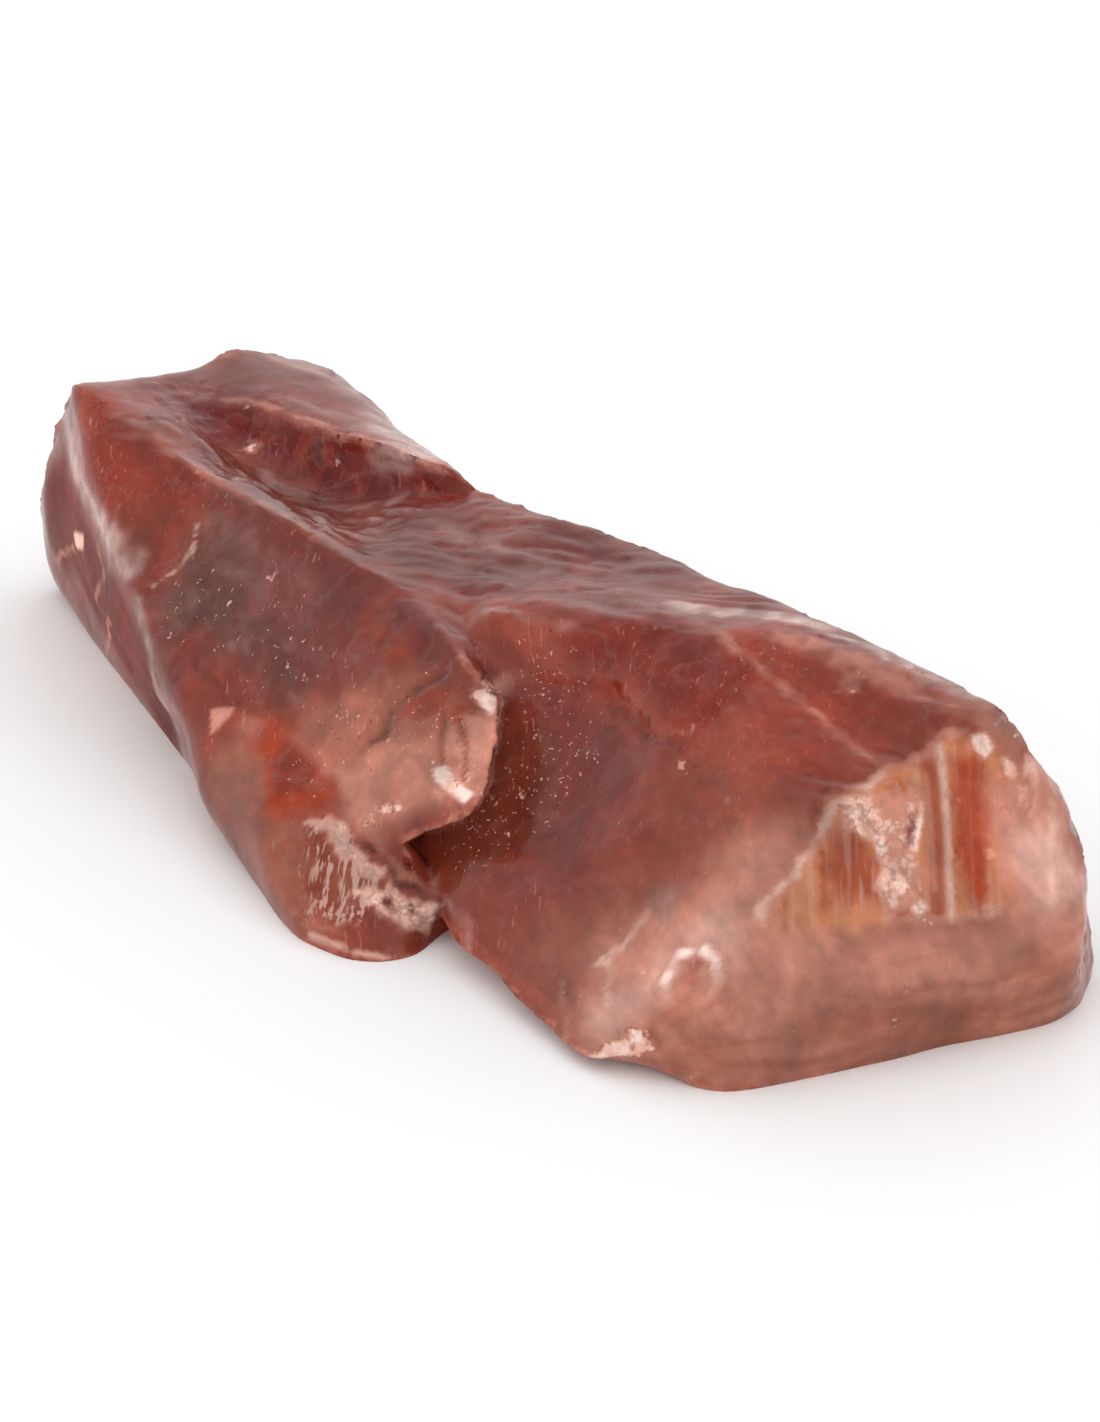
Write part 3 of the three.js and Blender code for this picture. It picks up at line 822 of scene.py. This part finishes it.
# The body of the lobe, and its orange glow beside the plate, painted as light shining through.
touch(0.8 * soft(5, [(-6, -13.5, 5.5), (-1, -15, 4), (4, -17, 2)]), CLAY)
touch(0.4 * soft(4, [(-3, -14.5, 4), (4, -17, 2)]), RUST)
touch(soft(2.8, [(-5.5, -11.8, 7.2), (-2, -12.3, 6.8), (0.5, -13, 6)]), EMBER, cloud=0.1)
touch(0.8 * soft(1.8, [(-3.7, -11.6, 7.2), (-0.6, -12.1, 6.8)]), CRIMSON)
touch(0.5 * soft(1, [(2, -11.4, 7.6), (5, -12, 6.7)]), ROSE)

# The fluted face, with two frosted bands and nicks in the lower one.
upper_band = [(-2.4, 2.5), (-0.3, 2.8), (1.7, 1.2), (4, -0.3), (2.6, -0.8), (0, 1), (-1, 1.8)]
lower_band = [(2.3, -1.4), (3.9, -0.8), (5.8, -1.2), (7.4, -1.1), (7.1, -2.9), (6.1, -3.1), (4.3, -2.6)]
touch(0.7 * lobe.patch((-2.5, 2), (-0.8, 2.2), (0.5, -1), (1.5, -3.2), (-0.6, -3.6), edge=0.8), CRIMSON)
touch(0.75 * lobe.patch(*upper_band), BLUSH, frost=0.3)
touch(0.85 * lobe.patch(*lower_band), BLUSH, cloud=0.2, frost=0.35)
for nick in [[(4.4, -1.6), (4.8, -2.2)], [(5.6, -1.7), (6.1, -2.2)]]:
    touch(lobe.line(0.35, *nick), WINE, height=-0.08)
fluted += lobe.patch(*FLUTED_OUTLINE, edge=0.6)

# The crack above the flutes, the lip's glints, and the block beside the lobe.
long_crack = [(0.7, 1.8), (2.6, 1.2), (3.9, 0.4), (4.4, -0.3), (6.5, -0.5), (7.6, -1.2)]
touch(0.8 * lobe.patch((3.3, 1.2), (5.4, 0.6), (6.6, -0.5), (6, -0.5), (4.3, -0.1)), CLAY)
touch(lobe.line(0.35, *long_crack), WINE, height=-0.1)
touch(0.7 * lobe.ruled(0.3, (0, -4.8), (2.8, -5.2)), BLUSH)
touch(0.7 * lobe.ruled(0.3, (3.4, -5.3), (5.3, -5.2)), BLUSH)
touch(0.7 * lobe.patch((8, -1.4), (10.6, -2.2), (12, -4.2), (8.5, -4)), RUST)
touch(0.6 * lobe.line(0.5, (6.9, 0.1), (9.1, -1.5), (10.6, -2.2), (10.8, -3.2)), SMOKE_AND_SHEEN)
print("lobe: flutes on", int((fluted > 0.5).sum()), "points")

# %% [markdown]
# ## Thin places
#
# Where the stone is thin the daylight behind it shows, so the near half's rims are painted palest, as painted
# light shining through. Six rays are sent into the stone from each point: the sooner they come out again, the
# thinner it is there.

# %% Thin places
THICK = 4
RAY_START = 0.1
RAY_SPREAD = 0.9
THIN_SPREADS = 6

LEANS = [direction(turn, 20) * RAY_SPREAD for turn in (0, 120, 240)]
LEANS += [direction(turn, -20) * RAY_SPREAD for turn in (60, 180, 300)]
tree = BVHTree.FromPolygons(place.tolist(), squares.tolist())


def thinness(spot, outward):
    """How soon rays into the stone come out again: 1 is at once, and 0 is never."""
    spot, outward = Vector(spot), Vector(outward)
    start = spot - outward * RAY_START
    lengths = [tree.ray_cast(start, lean - outward)[3] or THICK for lean in LEANS]
    return sum(math.exp(-length / THICK) for length in lengths) / len(lengths)


thin = np.array([thinness(spot, outward) for spot, outward in zip(place, normal)])
for _ in range(THIN_SPREADS):
    thin = spread(thin)
thin *= smooth(place[:, 2], 0.5, 5) * smooth(place[:, 0], 8, 20)
# Painted light: thin rims get a chalky white, as if daylight shone through them.
touch(smooth(thin, 0.3, 0.6) * (0.35 + 0.4 * smooth(large_shade, -0.2, 0.2)), CHALK_AND_HIGHLIGHT, cloud=0.1)
print("pale rims on", int((thin > 0.45).sum()), "points")

# %% [markdown]
# ## Raise the surface
#
# The heights are laid on along the surface's own direction, with a slight swell and grain everywhere, and
# nibbled facets on the worn edges. They fade out towards the table, so the face that the stone lies on stays
# flat. What was painted is stored on the points, where the material can read it.

# %% Relief
SWELL = 0.12
GRAIN = 0.03
EDGE_FACETS = 0.4
EDGE_WEAR = 0.04
BASE_FADE = (0.1, 1.5)

swell = field(lambda spot: noise.fractal(spot / 5, 1, 2, 3))
grain = field(lambda spot: noise.fractal(spot / 1.3, 0.8, 2.1, 4))
raised += SWELL * swell + GRAIN * grain + worn * (small_facets * EDGE_FACETS - EDGE_WEAR)
raised *= smooth(place[:, 2], *BASE_FADE)
moved = place + normal * raised[:, None]
moved[:, 2] = np.clip(moved[:, 2], 0, solid_bounds[1][2] / MM)
stone.data.vertices.foreach_set("co", (moved * MM).ravel())
stone.data.shade_smooth()
stone.data.update()

painted = {
    "cloud": cloudy,
    "frost": frosted,
    "glitter": glitter,
    "dull": dulled,
    "flutes": fluted,
    "ribs": ribbed,
    "worn": worn,
}
for name, values in painted.items():
    layer = stone.data.attributes.new(name, "FLOAT", "POINT")
    layer.data.foreach_set("value", values.astype(np.float32))
colours = np.concatenate([tone, np.ones((count, 1))], axis=1).astype(np.float32)
stone.data.attributes.new("tone", "FLOAT_COLOR", "POINT").data.foreach_set("color", colours.ravel())
print("raised from", round(raised.min(), 2), "to", round(raised.max(), 2), "mm")

# %% [markdown]
# ## Shader maths
#
# A material is easier to read as sums than as a web of nodes. Value wraps one output of a node, and adding or
# multiplying it makes the Math node that does so. Recipe makes every other node.


# %% Shader maths
class Value:
    """An output in a shader. Arithmetic on it adds the Math nodes that work it out."""

    def __init__(self, recipe, socket):
        self.recipe = recipe
        self.socket = socket

    def _math(self, operation, *terms):
        made = self.recipe.node("Math", {"operation": operation}, dict(enumerate(terms)))
        return Value(self.recipe, made.outputs[0])

    def __add__(self, other):
        return self._math("ADD", self, other)

    def __sub__(self, other):
        return self._math("SUBTRACT", self, other)

    def __rsub__(self, other):
        return self._math("SUBTRACT", other, self)

    def __mul__(self, other):
        return self._math("MULTIPLY", self, other)

    def __abs__(self):
        return self._math("ABSOLUTE", self)

    __radd__ = __add__
    __rmul__ = __mul__


class Recipe:
    """A material's nodes, all made by one method."""

    def __init__(self, name):
        self.material = bpy.data.materials.new(name)
        self.material.use_nodes = True
        self.nodes = self.material.node_tree.nodes
        self.nodes.clear()

    def node(self, kind, settings=None, inputs=None):
        """A node of that kind. Its settings come first, because they decide which sockets it has."""
        made = self.nodes.new("ShaderNode" + kind)
        for key, setting in (settings or {}).items():
            setattr(made, key, setting)
        for key, value in (inputs or {}).items():
            if isinstance(value, Value):
                self.material.node_tree.links.new(value.socket, made.inputs[key])
            else:
                made.inputs[key].default_value = value
        return made

    def value(self, kind, settings=None, inputs=None, output=0):
        """One output of such a node."""
        return Value(self, self.node(kind, settings, inputs).outputs[output])

    def attribute(self, name):
        """A number that was painted on the points of the stone."""
        return self.value("Attribute", {"attribute_name": name}, output="Fac")

    def mix(self, first, second, share):
        """The first colour with a share of the second in it."""
        return self.value("Mix", {"data_type": "RGBA"}, {0: share, 6: first, 7: second}, output=2)

    def dim(self, colour, share):
        """A colour that is darker where the share is below 1, and brighter above."""
        return self.value("VectorMath", {"operation": "SCALE"}, {0: colour, "Scale": share})

    def between(self, value, low, high):
        """0 below low, 1 above high, and a soft step between."""
        settings = {"interpolation_type": "SMOOTHSTEP"}
        return self.value("MapRange", settings, {"Value": value, "From Min": low, "From Max": high})

    def clouds(self, where, scale, detail=4, roughness=0.6):
        """A soft mottling, with that many features to the metre."""
        inputs = {"Vector": where, "Scale": scale, "Detail": detail, "Roughness": roughness}
        return self.value("TexNoise", {}, inputs)

    def lines(self, where, along, length, width):
        """Streaks that run along a direction, of that length and width in millimetres."""
        turn = along.to_track_quat("X", "Z").to_euler()
        size = (length * MM, width * MM, width * MM)
        inputs = {"Vector": where, "Rotation": turn, "Scale": size}
        return self.clouds(self.value("Mapping", {"vector_type": "TEXTURE"}, inputs), 1, 3, 0.5)

    def sparks(self, where, scale, chance):
        """Small specks, one in some of the cells of a Voronoi pattern."""
        cells = self.node("TexVoronoi", {}, {"Vector": where, "Scale": scale})
        drawn = self.value("SeparateColor", {}, {0: Value(self, cells.outputs["Color"])})
        core = 1 - self.between(Value(self, cells.outputs["Distance"]), 0.12, 0.28)
        return core * self.between(drawn + chance, 1.0, 1.02)


print("Recipe makes", [name for name in vars(Recipe) if not name.startswith("_")])

# %% [markdown]
# ## Patterns in the stone
#
# What is finer than the fine mesh is drawn by the material: mottling, hair-thin veils, and specks that catch
# the light. Each is a number from 0 to 1 that changes with the place in the stone. A scale of 150 puts about
# 150 features in a metre, so each is some 7 mm wide. The specks are read from places that a fine noise has
# bent, so that they aren't all round.

# %% Patterns
BEND = 0.0015

recipe = Recipe("calcite")
here = recipe.value("TexCoord", output="Object")
wide = recipe.clouds(here, 150, 5)
small = recipe.clouds(here, 800, 4, 0.65)
tiny = recipe.clouds(here, 3000, 2, 0.6)
smeared = {"Vector": here, "Scale": 330, "Detail": 6, "Roughness": 0.6, "Distortion": 1.5}
smear = recipe.value("TexNoise", {}, smeared)
streaks = recipe.lines(here, ALONG_FRONT, 8, 1.2)

# A veil is where a wide noise passes through its middle value, which makes a thin winding line.
veil = 1 - recipe.between(abs(recipe.clouds(here, 130, 4, 0.6) - 0.5), 0, 0.03)
thread = 1 - recipe.between(abs(recipe.clouds(here, 350, 3, 0.55) - 0.5), 0, 0.02)
scribble = 1 - recipe.between(abs(recipe.clouds(here, 1100, 2, 0.5) - 0.5), 0.01, 0.08)

stray = recipe.value("TexNoise", {}, {"Vector": here, "Scale": 1500, "Detail": 2}, output="Color")
bent = recipe.value("Mix", {"data_type": "VECTOR"}, {0: BEND, 4: here, 5: stray}, output=1)
glitter = recipe.attribute("glitter")
glint_speck = recipe.sparks(bent, 900, 0.015 + 0.03 * glitter)
glint = recipe.sparks(bent, 2300, -0.02 + 0.4 * glitter)
dark_speck = recipe.sparks(bent, 1700, -0.03 + 0.3 * glitter)

frosty = recipe.between(recipe.attribute("frost") + (small - 0.5) * 1.8 + (tiny - 0.5) * 0.8, 0.35, 0.8)
# Worn edges are painted paler: partly the stone's bruising and partly a painted highlight.
bruise_and_highlight = recipe.attribute("worn") * (0.3 + 0.7 * recipe.between(small, 0.42, 0.6))
flutes = recipe.between(recipe.lines(here, DOWN_LOBE, 6, 0.35), 0.5, 0.56) * recipe.attribute("flutes")
ribs = recipe.between(recipe.lines(here, UP_END, 30, 0.6), 0.5, 0.65) * recipe.attribute("ribs")
scratches = recipe.between(recipe.lines(here, UP_END, 12, 0.3), 0.62, 0.72) * recipe.between(wide, 0.5, 0.6)
print("patterns:", len(recipe.nodes), "nodes")

# %% [markdown]
# ## Colour
#
# The painted colour is mottled first, a little lighter and darker. The pale lines and the frosting are laid
# over it, and the specks go on last: the light ones are painted glints, and the dark ones are dark specks.

# %% Colour
LILAC = (0.78, 0.45, 0.37)
GLEAM = (0.74, 0.44, 0.36)

colour = recipe.value("Attribute", {"attribute_name": "tone"}, output="Color")
colour = recipe.dim(colour, 0.8 + 0.4 * recipe.between(wide, 0.3, 0.7))
colour = recipe.dim(colour, 0.87 + 0.26 * recipe.between(smear, 0.25, 0.75))
colour = recipe.dim(colour, 0.88 + 0.24 * recipe.between(streaks, 0.25, 0.75))
colour = recipe.mix(colour, (*SMOKE_AND_SHEEN, 1), 0.1 * veil + 0.1 * thread)
# The flutes' pale stripes are painted reflections of the stepped face.
colour = recipe.mix(colour, (*LILAC, 1), 0.9 * flutes)
colour = recipe.mix(colour, (*GLEAM, 1), 0.3 * ribs)
colour = recipe.mix(colour, (*GLEAM, 1), 0.3 * scratches)
colour = recipe.mix(colour, (*MAUVE, 1), 0.4 * scribble * recipe.between(recipe.attribute("frost"), 0.1, 0.3))
colour = recipe.mix(colour, (*ROSE, 1), 0.45 * bruise_and_highlight)
frosting = recipe.mix((*LILAC, 1), (*CHALK_AND_HIGHLIGHT, 1), recipe.between(smear, 0.4, 0.6))
colour = recipe.mix(colour, frosting, 0.9 * frosty)
colour = recipe.mix(colour, (*WINE, 1), 0.8 * dark_speck)
# Painted glints: the light specks stand for tiny facets that catch the light.
colour = recipe.mix(colour, (*GLEAM, 1), 0.7 * (glint_speck + glint))
print("colour:", len(recipe.nodes), "nodes so far")

# %% [markdown]
# ## The calcite
#
# Clear calcite would let all the light through, and cloudy calcite sends it back from just under the surface.
# This stone is both, so two shaders are mixed, and the mix follows how cloudy the stone is. Red iron staining
# takes the green and blue out of light on its way through, which a constant absorption in the body does.

# %% Calcite
STAIN = (0.88, 0.35, 0.20, 1)
STAIN_DENSITY = 80
TINT = (1.0, 0.62, 0.43, 1)
INDEX = 1.5
SHINE = 0.17
HAZE = 0.6
BUMP_STRENGTH = 0.25
BUMP_DEPTH = 0.2 * MM

rough = 0.14 + 0.3 * frosty + 0.1 * wide + 0.1 * bruise_and_highlight + 0.4 * recipe.attribute("dull")
bumps = {"Height": small + 0.5 * tiny * frosty, "Strength": BUMP_STRENGTH, "Distance": BUMP_DEPTH}
bump = recipe.value("Bump", {}, bumps, output="Normal")
face = {"Roughness": rough, "IOR": INDEX, "Specular IOR Level": SHINE, "Normal": bump}
clear = recipe.value("BsdfPrincipled", {}, {**face, "Base Color": TINT, "Transmission Weight": 1.0})
solid = recipe.value("BsdfPrincipled", {}, {**face, "Base Color": colour})
haze = HAZE + recipe.attribute("cloud") + 0.15 * (wide - 0.5)
haze = haze + 0.4 * frosty + 0.2 * bruise_and_highlight + 0.4 * (glint_speck + glint + dark_speck)
surface = recipe.value("MixShader", {}, {0: recipe.between(haze, 0.0, 1.0), 1: clear, 2: solid})
stain = recipe.value("VolumeAbsorption", {}, {"Color": STAIN, "Density": STAIN_DENSITY})
recipe.node("OutputMaterial", {}, {"Surface": surface, "Volume": stain})
stone.data.materials.append(recipe.material)

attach(stone, "root")
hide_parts("calcite")
print("calcite:", len(recipe.nodes), "nodes")

# %% [markdown]
# ## The floor
#
# The stone lies on a wide sheet of white paper. It is far larger than the view, so that no edge shows.

# %% Floor
FLOOR = 3.0
PAPER = (0.94, 0.94, 0.94, 1)

sheet = bpy.data.meshes.new("table")
paving = bmesh.new()
bmesh.ops.create_grid(paving, x_segments=1, y_segments=1, size=FLOOR)
paving.to_mesh(sheet)
paving.free()
floor = bpy.data.objects.new("table", sheet)
bpy.context.scene.collection.objects.link(floor)
paper = Recipe("white paper")
matt = paper.value("BsdfPrincipled", {}, {"Base Color": PAPER, "Roughness": 0.9})
paper.node("OutputMaterial", {}, {"Surface": matt})
sheet.materials.append(paper.material)
print("a floor", 2 * FLOOR, "m wide")

# %% [markdown]
# ## The light
#
# Even white light comes from all round. One large soft lamp behind the stone lays a grey sheen on the ripples
# of the top, which tells the eye that they are wet-smooth. Lamps in front would wash out the red.

# %% Light
WORLD = 1.08
LAMP_TURN, LAMP_RISE = -132, 30
LAMP_DISTANCE, LAMP_SIZE, LAMP_POWER = 1.5, 1.2, 2

world = bpy.data.worlds.new("studio")
world.use_nodes = True
background = world.node_tree.nodes["Background"]
background.inputs["Color"].default_value = (1, 1, 1, 1)
background.inputs["Strength"].default_value = WORLD
bpy.context.scene.world = world

light = bpy.data.lights.new("behind", "AREA")
light.shape = "DISK"
light.size = LAMP_SIZE
light.energy = LAMP_POWER
aimed(bpy.data.objects.new("behind", light), AIM + direction(LAMP_TURN, LAMP_RISE) * LAMP_DISTANCE)
bpy.context.scene.view_settings.view_transform = "Standard"
print("one lamp of", LAMP_POWER, "W behind the stone")

# %% [markdown]
# ## Sizes
#
# The dressed stone must stay inside the solid's box.
